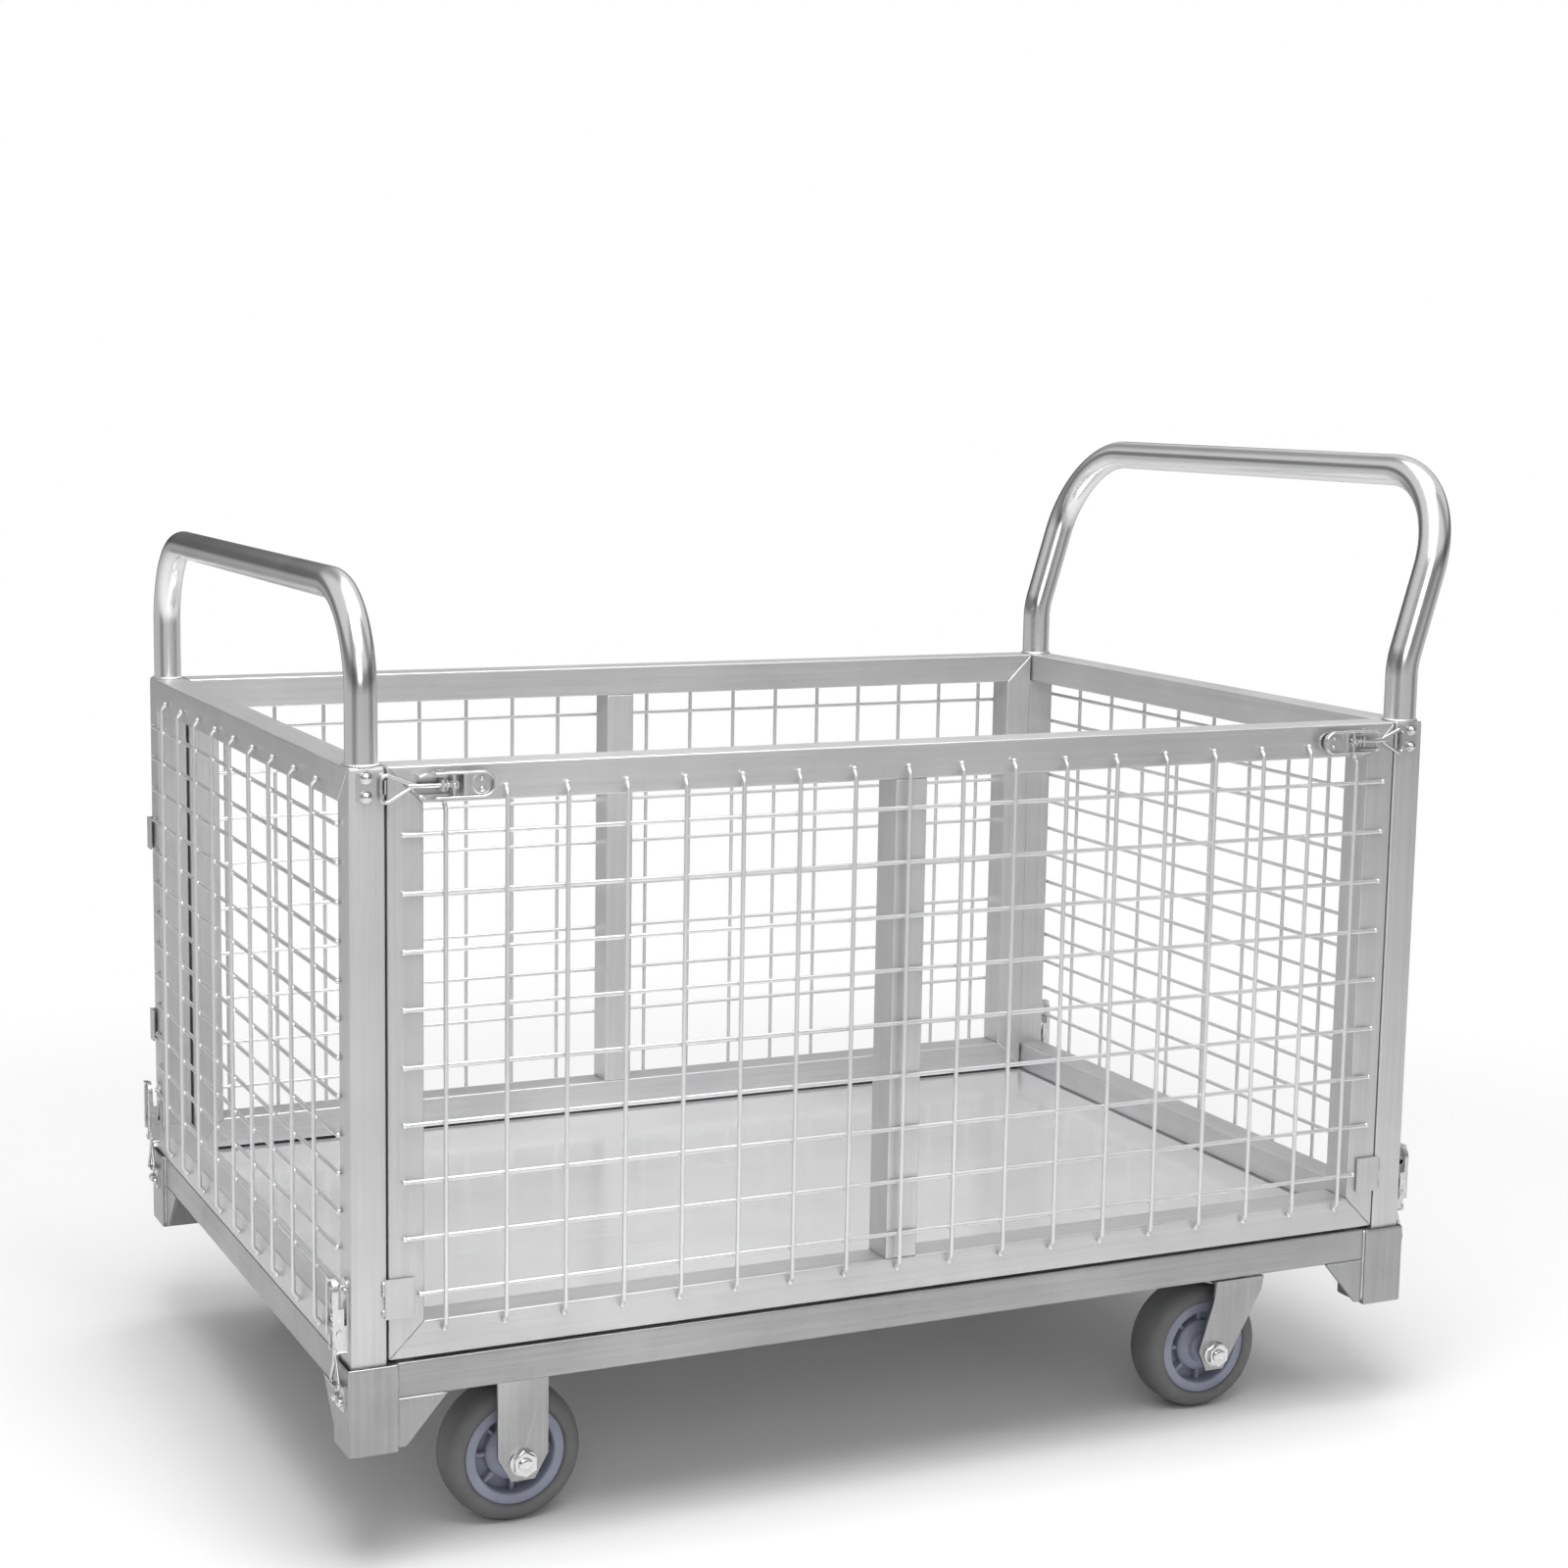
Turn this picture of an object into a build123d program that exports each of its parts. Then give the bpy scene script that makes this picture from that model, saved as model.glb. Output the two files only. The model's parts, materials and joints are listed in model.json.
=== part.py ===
from build123d import *
import os
from math import cos, radians, sin

# Four-sided mesh platform trolley. Millimetres, +Z up, +X towards the tall handle.
# Everything is modelled with the deck's centre at the origin and its top at z = 0,
# then moved so that the origin is under the middle of the bounding box, on the floor.

# ---- overall ---------------------------------------------------------------
LENGTH = 1100.0          # outside the end panels
WIDTH = 750.0            # outside the side panels
CAGE_H = 518.0           # deck top to panel rim
FLOOR_DROP = 190.0       # deck top to floor
TUBE = 32.0              # square tube of the panel frames
WALL = 2.0
SIDE_DEPTH = 36.0        # depth of the side panel frames

# ---- base ------------------------------------------------------------------
BEAM_H = 32.0
BEAM_W = 36.0
LEG = 45.0               # socket tube
LEG_STEP = 4.0           # how far it stands out past the post
LEG_BORE = 34.0
LEG_BOTTOM = -79.0
LEG_FLOOR_T = 3.0
DECK_T = 2.0
DECK_GROOVE = 1.0
GUSSET_LEN = 46.0
GUSSET_DROP = 44.0
GUSSET_T = 4.0
POST_BOTTOM = -70.0

# ---- wire mesh -------------------------------------------------------------
WIRE_R = 2.0
WIRE_NEAR = 3.0          # centre of the wires that lie on the frame
WIRE_FAR = 7.0           # centre of the wires that cross in front
WIRE_BEND = 6.0          # length of the bent wire end
WIRE_TURN = 4.0
WIRE_TIP = 1.9           # centre of a bent end
SIDE_VERTICALS = 18
SIDE_V_PITCH = 55.0
SIDE_V_Z = (27.0, 498.0)
SIDE_V_SHORT_TOP = 487.0     # the outermost wires stop under the latches
SIDE_H_ROWS = 9
SIDE_H_FIRST = 60.0
SIDE_H_PITCH = 50.0
SIDE_H_HALF = 503.0
SIDE_H_LOW_HALF = 489.0      # the lowest row stops beside the clips
END_VERTICALS = 9
END_V_PITCH = 72.0
END_V_Z = (14.0, 498.0)
END_H_ROWS = 13
END_H_FIRST = 66.0
END_H_PITCH = 33.5
END_H_HALF = 350.0
END_H_SHORT = 345.0          # the rows beside the base latches

# ---- side panels -----------------------------------------------------------
PANEL_HALF = 516.5
PANEL_LIFT = 3.0
PANEL_FOOT = 20.0
UPRIGHT_X = -22.0
CLIP_T = 2.5
CLIP_Z = (41.0, 76.0)
CLIP_STANDOFF = 1.0
CLIP_REACH = 494.0
HOOK_Z = ((122.0, 156.0), (333.0, 367.0))
HOOK_T = 2.0
HOOK_GAP = 2.5

# ---- handles ---------------------------------------------------------------
LOW_R = 14.0
LOW_RISE = 147.0
LOW_BEND = 88.0
TALL_R = 15.9
TALL_RISE = 245.0
TALL_STRAIGHT = 57.0
TALL_LEAN = 56.0
TALL_BEND = 100.0
LEAN_BEND = 90.0
HANDLE_WALL = 1.5

# ---- casters ---------------------------------------------------------------
WHEEL_R = 65.0
WHEEL_HALF = 24.0
CORE_R = 47.5
RIM_FACE_R = 37.0
RIM_HALF = 21.0
HUB_R = 26.0
HUB_TIP_R = 15.0
HUB_TIP = 25.0
HUB_HALF = 37.0
SPACER_R = 11.0
AXLE_R = 6.0
AXLE_CLEAR = 0.06
AXLE_Z = -FLOOR_DROP + WHEEL_R
CASTER_Y = WIDTH / 2 - 60.0 - WHEEL_HALF
RIGID_X = -379.0
SWIVEL_X = 390.0
FORK_HALF = 24.0
TRAIL = 28.0
PLATE = (104.0, 88.0, 4.0)
MOUNT = (124.0, 104.0, 5.0)
BOLT_AT = (40.0, 32.0)
BOLT_R = 4.0
FORK_INNER = 38.5
FORK_T = 3.5
KINGPIN_R = 8.0
RACE_R = 33.0

# ---- latches: u runs from keeper to lever tip, v across, w out of the face ---
KEEPER_LIP = 13.8
KEEPER_LIP_T = 1.2
PIVOT_U = 62.0
PIVOT_W = 8.0
BAIL_U = 74.0
BAIL_W = 9.0
BAR_U = 11.8
BAR_HALF = 14.2
BAR_TURN = 4.5
BAR_SAG = 2.4            # how far the side latches' loops hang down
NECK_U = 38.0
BAR_W = 5.5
LEVER_ROUND = 98.6       # centre of the lever's rounded end
LEVER_HALF = 11.4
LEVER_RIM = 2.2
EAR_V = (7.3, 8.8)
LATCH_PIN_R = 2.0
LATCH_CLEAR = 0.06
SIDE_LATCH_Z = CAGE_H - TUBE / 2
END_LATCH_Z = -31.0      # height of the end latches' keeper line

# ---- derived ---------------------------------------------------------------
HL, HW = LENGTH / 2, WIDTH / 2
POST_X, POST_Y = HL - TUBE / 2, HW - TUBE / 2
CORNERS = [(sx, sy) for sx in (-1, 1) for sy in (-1, 1)]


def block(x0, x1, y0, y1, z0, z1):
    """Box between two corners given in any order."""
    size = (abs(x1 - x0), abs(y1 - y0), abs(z1 - z0))
    return Pos((x0 + x1) / 2, (y0 + y1) / 2, (z0 + z1) / 2) * Box(*size)


def tube(axis, x0, x1, y0, y1, z0, z1, cap=0.0):
    """Rectangular tube along one axis; cap closes its upper end."""
    lo = [min(x0, x1), min(y0, y1), min(z0, z1)]
    hi = [max(x0, x1), max(y0, y1), max(z0, z1)]
    for i in range(3):
        if i == "xyz".index(axis):
            lo[i] -= 1
            hi[i] += -cap if cap else 1
        else:
            lo[i] += WALL
            hi[i] -= WALL
    return block(x0, x1, y0, y1, z0, z1) - block(lo[0], hi[0], lo[1], hi[1], lo[2], hi[2])


def rod(p, q, r):
    """Round bar from p to q."""
    p, q = Vector(*p), Vector(*q)
    plane = Plane(origin=p, z_dir=q - p)
    return plane * Cylinder(r, (q - p).length, align=(Align.CENTER, Align.CENTER, Align.MIN))


def hexagon(r_flat, height):
    corner = r_flat / cos(radians(30))
    return extrude(RegularPolygon(corner, 6), height)


def plate_xz(points, y0, y1):
    """Flat plate with its outline in X and Z, between two y values."""
    face = make_face(Polyline(*[(x, 0, z) for x, z in points], close=True))
    solid = extrude(face, abs(y1 - y0), dir=(0, 1, 0))
    return Pos(0, min(y0, y1), 0) * solid


def plate_yz(points, x0, x1):
    face = make_face(Polyline(*[(0, y, z) for y, z in points], close=True))
    solid = extrude(face, abs(x1 - x0), dir=(1, 0, 0))
    return Pos(min(x0, x1), 0, 0) * solid


def bent_path(points, radii):
    """Straight runs joined by tangent arcs of the given radii."""
    pts = [Vector(*p) for p in points]
    edges, start = [], pts[0]
    for before, corner, after, r in zip(pts, pts[1:], pts[2:], radii):
        a = (before - corner).normalized()
        b = (after - corner).normalized()
        half = radians(a.get_angle(b)) / 2
        cut = r / (sin(half) / cos(half))
        t0, t1 = corner + a * cut, corner + b * cut
        bisect = (a + b).normalized()
        mid = corner + bisect * (r / sin(half) - r)
        edges += [Line(start, t0), ThreePointArc(t0, mid, t1)]
        start = t1
    edges.append(Line(start, pts[-1]))
    return Wire([e.edge() for e in edges])


def bent_rod(points, radii, r):
    """Round bar bent along a path."""
    path = bent_path(points, radii)
    section = Plane(origin=path @ 0, z_dir=path % 0)
    return sweep(section * Circle(r), path=path, transition=Transition.ROUND)


def bent_tube(points, radii, r):
    return bent_rod(points, radii, r) - bent_rod(points, radii, r - HANDLE_WALL)


def wire(points):
    return bent_rod(points, [WIRE_TURN] * (len(points) - 2), WIRE_R)


# ---- base ------------------------------------------------------------------
def base_nodes():
    leg_in = HL + LEG_STEP - LEG            # inner x of the legs
    leg_in_y = HW + LEG_STEP - LEG
    deck_x, deck_y = HL - BEAM_W - DECK_GROOVE, HW - BEAM_W - DECK_GROOVE
    deck = block(-deck_x, deck_x, -deck_y, deck_y, -DECK_T, 0)
    for sx, sy in CORNERS:
        deck -= block(sx * (leg_in - DECK_GROOVE), sx * HL, sy * (leg_in_y - DECK_GROOVE),
                      sy * HW, -DECK_T - 1, 1)
    yield "deck_sheet", [deck]
    yield "base_side_beams", [
        tube("x", -leg_in, leg_in, s * (HW - BEAM_W), s * HW, -BEAM_H, 0) for s in (-1, 1)]
    yield "base_end_beams", [
        tube("y", s * (HL - BEAM_W), s * HL, -leg_in_y, leg_in_y, -BEAM_H, 0) for s in (-1, 1)]
    bars = [RIGID_X - 40, RIGID_X + 40, 20, SWIVEL_X - 40, SWIVEL_X + 40]
    inner_y = HW - BEAM_W
    yield "base_crossbars", [
        tube("y", x - 18, x + 18, -inner_y, inner_y, -BEAM_H, -DECK_T) for x in bars]
    legs, gussets = [], []
    for sx, sy in CORNERS:
        x, y = sx * POST_X, sy * POST_Y
        leg = block(sx * leg_in, sx * (HL + LEG_STEP), sy * leg_in_y, sy * (HW + LEG_STEP),
                    LEG_BOTTOM, 0)
        b = LEG_BORE / 2
        leg -= block(x - b, x + b, y - b, y + b, LEG_BOTTOM + LEG_FLOOR_T, 1)
        legs.append(leg)
        x0, y0 = sx * leg_in, sy * leg_in_y
        low = -BEAM_H - GUSSET_DROP
        gussets.append(plate_xz(
            [(x0, -BEAM_H), (x0 - sx * GUSSET_LEN, -BEAM_H), (x0 - sx * 8, low), (x0, low)],
            sy * (HW - GUSSET_T), sy * HW))
        gussets.append(plate_yz(
            [(y0, -BEAM_H), (y0 - sy * GUSSET_LEN, -BEAM_H), (y0 - sy * 8, low), (y0, low)],
            sx * (HL - GUSSET_T), sx * HL))
    yield "corner_legs", legs
    yield "leg_gussets", gussets


# ---- end panels ------------------------------------------------------------
def end_panel(side, sx):
    x0, x1, half, inner_z = sx * (HL - TUBE), sx * HL, HW - TUBE, CAGE_H - TUBE
    posts = []
    for sy in (-1, 1):
        post = tube("z", x0, x1, sy * half, sy * HW, POST_BOTTOM, CAGE_H)
        posts.append(post & plate_yz([(sy * half, POST_BOTTOM), (sy * HW, POST_BOTTOM),
                                      (sy * HW, CAGE_H), (sy * half, inner_z)], x0, x1))
    top = tube("y", x0, x1, -HW, HW, inner_z, CAGE_H)
    top = top & plate_yz([(-half, inner_z), (-HW, CAGE_H), (HW, CAGE_H), (half, inner_z)], x0, x1)
    rails = [tube("y", x0, x1, -half, half, 0, TUBE), top]
    yield f"{side}_end_posts", posts
    yield f"{side}_end_rails", rails
    wires = []
    near, far = sx * (HL + WIRE_NEAR), sx * (HL + WIRE_FAR)
    z0, z1 = END_V_Z
    for i in range(END_VERTICALS):
        y = (i - (END_VERTICALS - 1) / 2) * END_V_PITCH
        tip = sx * (HL + WIRE_TIP)
        wires.append(wire([(tip, y, z0), (far, y, z0 + WIRE_BEND), (far, y, z1 - WIRE_BEND),
                           (tip, y, z1)]))
    for i in range(END_H_ROWS):
        z = END_H_FIRST + i * END_H_PITCH
        half = END_H_SHORT if i < 2 else END_H_HALF
        tip = sx * (HL + WIRE_TIP)
        wires.append(wire([(tip, -half, z), (near, WIRE_BEND / 2 - half, z),
                           (near, half - WIRE_BEND / 2, z), (tip, half, z)]))
    yield f"{side}_end_mesh", wires


def handle_nodes():
    x, y, z = -POST_X, POST_Y, CAGE_H
    top = z + LOW_RISE
    yield "low_handle", [bent_tube(
        [(x, -y, z), (x, -y, top), (x, y, top), (x, y, z)], [LOW_BEND] * 2, LOW_R)]
    x, top, knee = POST_X, z + TALL_RISE, z + TALL_STRAIGHT
    yield "tall_handle", [bent_tube(
        [(x, -y, z), (x, -y, knee), (x + TALL_LEAN, -y, top), (x + TALL_LEAN, y, top),
         (x, y, knee), (x, y, z)],
        [LEAN_BEND, TALL_BEND, TALL_BEND, LEAN_BEND], TALL_R)]


# ---- side panels -----------------------------------------------------------
def side_panel(side, sy):
    y0, y1 = sy * (HW - SIDE_DEPTH), sy * HW
    inner = PANEL_HALF - TUBE
    low, high = PANEL_LIFT, CAGE_H
    uprights = []
    for sx in (-1, 1):
        stile = tube("z", sx * inner, sx * PANEL_HALF, y0, y1, low, high)
        uprights.append(stile & plate_xz(
            [(sx * PANEL_HALF, low), (sx * PANEL_HALF, high), (sx * inner, high - TUBE),
             (sx * inner, low + TUBE)], y0, y1))
        xc = sx * (PANEL_HALF - TUBE / 2)
        yc, h = (y0 + y1) / 2, PANEL_FOOT / 2
        uprights.append(block(xc - h, xc + h, yc - h, yc + h, 0, low))
    uprights.append(tube("z", UPRIGHT_X - TUBE / 2, UPRIGHT_X + TUBE / 2, y0, y1,
                         low + TUBE, high - TUBE))
    rails = []
    for z_out, z_in in ((low, low + TUBE), (high, high - TUBE)):
        rail = tube("x", -PANEL_HALF, PANEL_HALF, y0, y1, z_out, z_in)
        rails.append(rail & plate_xz([(-PANEL_HALF, z_out), (PANEL_HALF, z_out),
                                      (inner, z_in), (-inner, z_in)], y0, y1))
    yield f"{side}_panel_uprights", uprights
    yield f"{side}_panel_rails", rails
    wires = []
    near, far = sy * (HW + WIRE_NEAR), sy * (HW + WIRE_FAR)
    tip = sy * (HW + WIRE_TIP)
    z0, z_top = SIDE_V_Z
    for i in range(SIDE_VERTICALS):
        x = (i - (SIDE_VERTICALS - 1) / 2) * SIDE_V_PITCH
        z1 = SIDE_V_SHORT_TOP if i in (0, SIDE_VERTICALS - 1) else z_top
        wires.append(wire([(x, tip, z0), (x, far, z0 + WIRE_BEND), (x, far, z1 - WIRE_BEND),
                           (x, tip, z1)]))
    for i in range(SIDE_H_ROWS):
        z = SIDE_H_FIRST + i * SIDE_H_PITCH
        half = SIDE_H_HALF if i else SIDE_H_LOW_HALF
        wires.append(wire([(-half, tip, z), (WIRE_BEND / 2 - half, near, z),
                           (half - WIRE_BEND / 2, near, z), (half, tip, z)]))
    yield f"{side}_panel_mesh", wires


def clip_nodes():
    """Bent plates on the posts that hold the side panels' bottom corners."""
    clips = []
    z0, z1 = CLIP_Z
    for sx, sy in CORNERS:
        face = sy * HW
        front = sy * (HW + CLIP_STANDOFF + CLIP_T)
        edge = HL - TUBE
        clip = block(sx * edge, sx * (edge + CLIP_T), face, front, z0, z1)
        clip += block(sx * CLIP_REACH, sx * (edge + CLIP_T), face + sy * CLIP_STANDOFF, front,
                      z0, z1)
        clips.append(clip)
    yield "panel_clips", clips
    hooks = []
    for sx in (-1, 1):
        for z0, z1 in HOOK_Z:
            outer = HL + HOOK_GAP + HOOK_T
            y_in = HW + 1
            hook = block(sx * 506, sx * 514, HW, y_in + HOOK_T, z0, z1)
            hook += block(sx * 506, sx * outer, y_in, y_in + HOOK_T, z0, z1)
            hook += block(sx * (outer - HOOK_T), sx * outer, HW - 12, y_in + HOOK_T, z0, z1)
            hooks.append(hook)
    yield "back_panel_hooks", hooks


# ---- latches ---------------------------------------------------------------
def latch_plate():
    """Base plate with two ears, their stub rivets and the plate's own rivets."""
    plate = block(43, 99, -9, 9, 0, 1.5) + rod((99, 0, 0), (99, 0, 1.5), 9)
    for s in (-1, 1):
        plate += block(43, PIVOT_U + 6, s * EAR_V[0], s * EAR_V[1], 0, 11.5)
    pins = []
    for s in (-1, 1):
        pin = rod((PIVOT_U, s * EAR_V[0], PIVOT_W), (PIVOT_U, s * 12.0, PIVOT_W), LATCH_PIN_R)
        pin += rod((PIVOT_U, s * 11.6, PIVOT_W), (PIVOT_U, s * 12.6, PIVOT_W), 3.2)
        pins.append(pin)
        plate -= pin
    rivets = [rod((98, s * 4.8, 1.5), (98, s * 4.8, 3.0), 2.6) for s in (-1, 1)]
    return [plate] + pins + rivets


def latch_keeper(rise):
    """Keeper plate with an upright lip and two rivets."""
    lip = KEEPER_LIP + KEEPER_LIP_T
    plate = block(-8, lip, -12, 12, rise, rise + 2)
    plate += block(KEEPER_LIP, lip, -6, 6, rise + 2, rise + 9)
    rivets = [rod((0, s * 8, rise + 2), (0, s * 8, rise + 3.6), 3.4) for s in (-1, 1)]
    return [plate] + rivets


def latch_lever():
    """Open lever: two arms joined by a rounded end, a cross bar and a finger tab."""
    low, high = 9.5, 13.5
    inner = LEVER_HALF - LEVER_RIM
    lever = block(56, LEVER_ROUND, -LEVER_HALF, LEVER_HALF, low, high)
    lever += rod((LEVER_ROUND, 0, low), (LEVER_ROUND, 0, high), LEVER_HALF)
    lever -= block(55, LEVER_ROUND, -inner, inner, low - 1, high + 1)
    lever -= rod((LEVER_ROUND, 0, low - 1), (LEVER_ROUND, 0, high + 1), inner)
    for s in (-1, 1):
        lever += block(56, 84, s * inner, s * LEVER_HALF, 4.5, high)
    lever += block(82, 85, -inner - 1, inner + 1, low, low + 2)
    tab = LEVER_ROUND + LEVER_HALF
    lever += block(tab - 2.5, tab, -5, 5, high - 2, high + 2.5)
    hole = LATCH_PIN_R + LATCH_CLEAR
    for u, w in ((PIVOT_U, PIVOT_W), (BAIL_U, BAIL_W)):
        lever -= rod((u, -13, w), (u, 13, w), hole)
    return [lever]


def latch_bail(rise, sag):
    """Wire loop on a stem; its cross pin turns in the lever."""
    bar_w = BAR_W + rise
    slope = (bar_w - BAIL_W) / (BAR_U - BAIL_U)
    neck_w = bar_w + slope * (NECK_U - BAR_U)
    loop = [(NECK_U, -1.2, neck_w), (BAR_U, sag - BAR_HALF, bar_w),
            (BAR_U, sag + BAR_HALF, bar_w), (NECK_U, 1.2, neck_w)]
    bail = bent_rod(loop, [BAR_TURN] * 2, 1.6)
    bail += rod((NECK_U - 3, 0, neck_w - 3 * slope), (BAIL_U, 0, BAIL_W), 2.2)
    bail += rod((BAIL_U, -LEVER_HALF, BAIL_W), (BAIL_U, LEVER_HALF, BAIL_W), LATCH_PIN_R)
    return [bail]


def latch_places():
    """Name, frame, keeper rise and loop sag of each latch."""
    places = {}
    for side, sy in (("front", -1), ("back", 1)):
        for end, sx in (("left", -1), ("right", 1)):
            origin = (sx * (POST_X + 1), sy * HW, SIDE_LATCH_Z)
            places[f"{side}_{end}"] = (
                Plane(origin=origin, x_dir=(-sx, 0, 0), z_dir=(0, sy, 0)), 0.0,
                -sx * sy * BAR_SAG)
    for end, sx in (("left", -1), ("right", 1)):
        for side, sy in (("front", -1), ("back", 1)):
            origin = (sx * HL, sy * POST_Y, END_LATCH_Z)
            places[f"{end}_end_{side}"] = (
                Plane(origin=origin, x_dir=(0, 0, 1), z_dir=(sx, 0, 0)), LEG_STEP, 0.0)
    return places


def latch_nodes():
    groups = {"top_latch_keepers": [], "base_latch_keepers": [], "end_latch_plates": [],
              "front_latch_plates": [], "back_latch_plates": []}
    for name, (plane, rise, sag) in latch_places().items():
        is_end = "_end_" in name
        keeper = "base_latch_keepers" if is_end else "top_latch_keepers"
        plate = "end_latch_plates" if is_end else f"{name.split('_')[0]}_latch_plates"
        groups[keeper] += [plane * s for s in latch_keeper(rise)]
        groups[plate] += [plane * s for s in latch_plate()]
        yield f"{name}_lever", [plane * s for s in latch_lever()]
        yield f"{name}_bail", [plane * s for s in latch_bail(rise, sag)]
    yield from groups.items()


# ---- casters ---------------------------------------------------------------
def wheel_core():
    profile = Polyline((AXLE_R + AXLE_CLEAR, -HUB_HALF), (SPACER_R, -HUB_HALF), (SPACER_R, -HUB_TIP),
                       (HUB_TIP_R, -HUB_TIP), (HUB_R, -12), (HUB_R, -4), (RIM_FACE_R, -4),
                       (RIM_FACE_R, -RIM_HALF), (CORE_R, -RIM_HALF), (CORE_R, RIM_HALF),
                       (RIM_FACE_R, RIM_HALF), (RIM_FACE_R, 4), (HUB_R, 4), (HUB_R, 12),
                       (HUB_TIP_R, HUB_TIP), (SPACER_R, HUB_TIP), (SPACER_R, HUB_HALF),
                       (AXLE_R + AXLE_CLEAR, HUB_HALF), close=True)
    core = revolve(make_face(profile), Axis.Y)
    for i in range(8):
        rib = block(HUB_R - 3, RIM_FACE_R + 1, -11, 11, -2.5, 2.5)
        core += Rot(0, 45 * i, 0) * rib
    return core


def wheel_tyre():
    edge, crown, inner = WHEEL_HALF, WHEEL_R - 1.0, CORE_R + 3.5
    profile = Polyline((inner, -edge), (CORE_R, -edge + 2), (CORE_R, edge - 2), (inner, edge))
    for s in (-1, 1):
        profile += ThreePointArc((inner, s * edge), (crown - 4.5, s * (edge - 5.5)), (crown, s * 10))
    profile += ThreePointArc((crown, 10), (WHEEL_R, 0), (crown, -10))
    return revolve(make_face(profile), Axis.Y)


def axle(x, y):
    """Axle bolt with its head and nut."""
    outer = FORK_INNER + FORK_T
    shaft = rod((x, y - outer - 11, AXLE_Z), (x, y + outer, AXLE_Z), AXLE_R)
    nut = Plane(origin=(x, y - outer, AXLE_Z), z_dir=(0, -1, 0)) * hexagon(10, 8)
    head = Plane(origin=(x, y + outer, AXLE_Z), z_dir=(0, 1, 0)) * hexagon(9.5, 5)
    return shaft + nut + head


def fork_cheeks(x, y, outline, eye):
    """Two fork sides rounded round the axle, with axle holes."""
    cheeks = None
    for s in (-1, 1):
        y0, y1 = y + s * FORK_INNER, y + s * (FORK_INNER + FORK_T)
        cheek = plate_xz(outline, y0, y1)
        cheek += rod((x, min(y0, y1), AXLE_Z), (x, max(y0, y1), AXLE_Z), eye)
        cheek -= rod((x, min(y0, y1) - 1, AXLE_Z), (x, max(y0, y1) + 1, AXLE_Z),
                     AXLE_R + AXLE_CLEAR)
        cheeks = cheek if cheeks is None else cheeks + cheek
    return cheeks


def drilled(plate, x, y, z0, z1):
    for sx, sy in CORNERS:
        bx, by = x + sx * BOLT_AT[0], y + sy * BOLT_AT[1]
        plate -= rod((bx, by, z0 - 1), (bx, by, z1 + 1), BOLT_R + 0.2)
    return plate


def caster_nodes():
    groups = {"caster_mount_plates": [], "rigid_caster_forks": [], "swivel_caster_plates": [],
              "caster_bolts": [], "rigid_axles": []}
    z_mount = -BEAM_H - MOUNT[2]
    z_plate = z_mount - PLATE[2]
    for side, sy in (("front", -1), ("back", 1)):
        y = sy * CASTER_Y
        for x in (RIGID_X, SWIVEL_X):
            mount = block(x - MOUNT[0] / 2, x + MOUNT[0] / 2, y - MOUNT[1] / 2,
                          y + MOUNT[1] / 2, z_mount, -BEAM_H)
            groups["caster_mount_plates"].append(drilled(mount, x, y, z_mount, -BEAM_H))
            for bx, by in CORNERS:
                px, py = x + bx * BOLT_AT[0], y + by * BOLT_AT[1]
                bolt = rod((px, py, z_plate), (px, py, -BEAM_H), BOLT_R)
                bolt += Plane(origin=(px, py, z_plate), z_dir=(0, 0, -1)) * hexagon(6.5, 5)
                groups["caster_bolts"].append(bolt)
        hx, hy = PLATE[0] / 2, PLATE[1] / 2
        # rigid caster
        x = RIGID_X
        top = drilled(block(x - hx, x + hx, y - hy, y + hy, z_plate, z_mount),
                      x, y, z_plate, z_mount)
        outer = FORK_INNER + FORK_T
        top += block(x - FORK_HALF, x + FORK_HALF, y - outer, y + outer, z_plate - 4, z_plate)
        h = FORK_HALF
        outline = [(x - h, z_plate), (x + h, z_plate), (x + h, AXLE_Z + 6), (x + 11, AXLE_Z - 17),
                   (x - 11, AXLE_Z - 17), (x - h, AXLE_Z + 6)]
        groups["rigid_caster_forks"].append(top + fork_cheeks(x, y, outline, 13.0))
        groups["rigid_axles"].append(axle(x, y))
        # swivel caster: plate and kingpin stay, the fork turns about the kingpin
        x = SWIVEL_X
        top = drilled(block(x - hx, x + hx, y - hy, y + hy, z_plate, z_mount),
                      x, y, z_plate, z_mount)
        z_race = z_plate - 8
        top += rod((x, y, z_race), (x, y, z_plate), RACE_R - 5)
        top += rod((x, y, z_race - 11), (x, y, z_race), KINGPIN_R)
        top += rod((x, y, z_race - 13), (x, y, z_race - 10), KINGPIN_R + 4)
        groups["swivel_caster_plates"].append(top)
        xa = x - TRAIL
        z_top = z_race - 1
        fork = rod((x, y, z_top - 8), (x, y, z_top), RACE_R)
        fork += block(x - 28, x + 28, y - outer, y + outer, z_top - 4, z_top)
        outline = [(x - 28, z_top), (x + 28, z_top), (x + 26, z_top - 14),
                   (xa + 19, AXLE_Z - 2), (xa + 10, AXLE_Z - 17), (xa - 10, AXLE_Z - 17),
                   (xa - 19, AXLE_Z + 4), (x - 31, z_top - 20)]
        fork += fork_cheeks(xa, y, outline, 13.0)
        fork -= rod((x, y, z_top - 9), (x, y, z_top + 1), KINGPIN_R + 0.06)
        yield f"{side}_swivel_fork", [fork]
        yield f"{side}_swivel_axle", [axle(xa, y)]
        for end, wx in (("left", RIGID_X), ("right", xa)):
            yield f"{side}_{end}_core", [Pos(wx, y, AXLE_Z) * wheel_core()]
            yield f"{side}_{end}_tyre", [Pos(wx, y, AXLE_Z) * wheel_tyre()]
    yield from groups.items()


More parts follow.
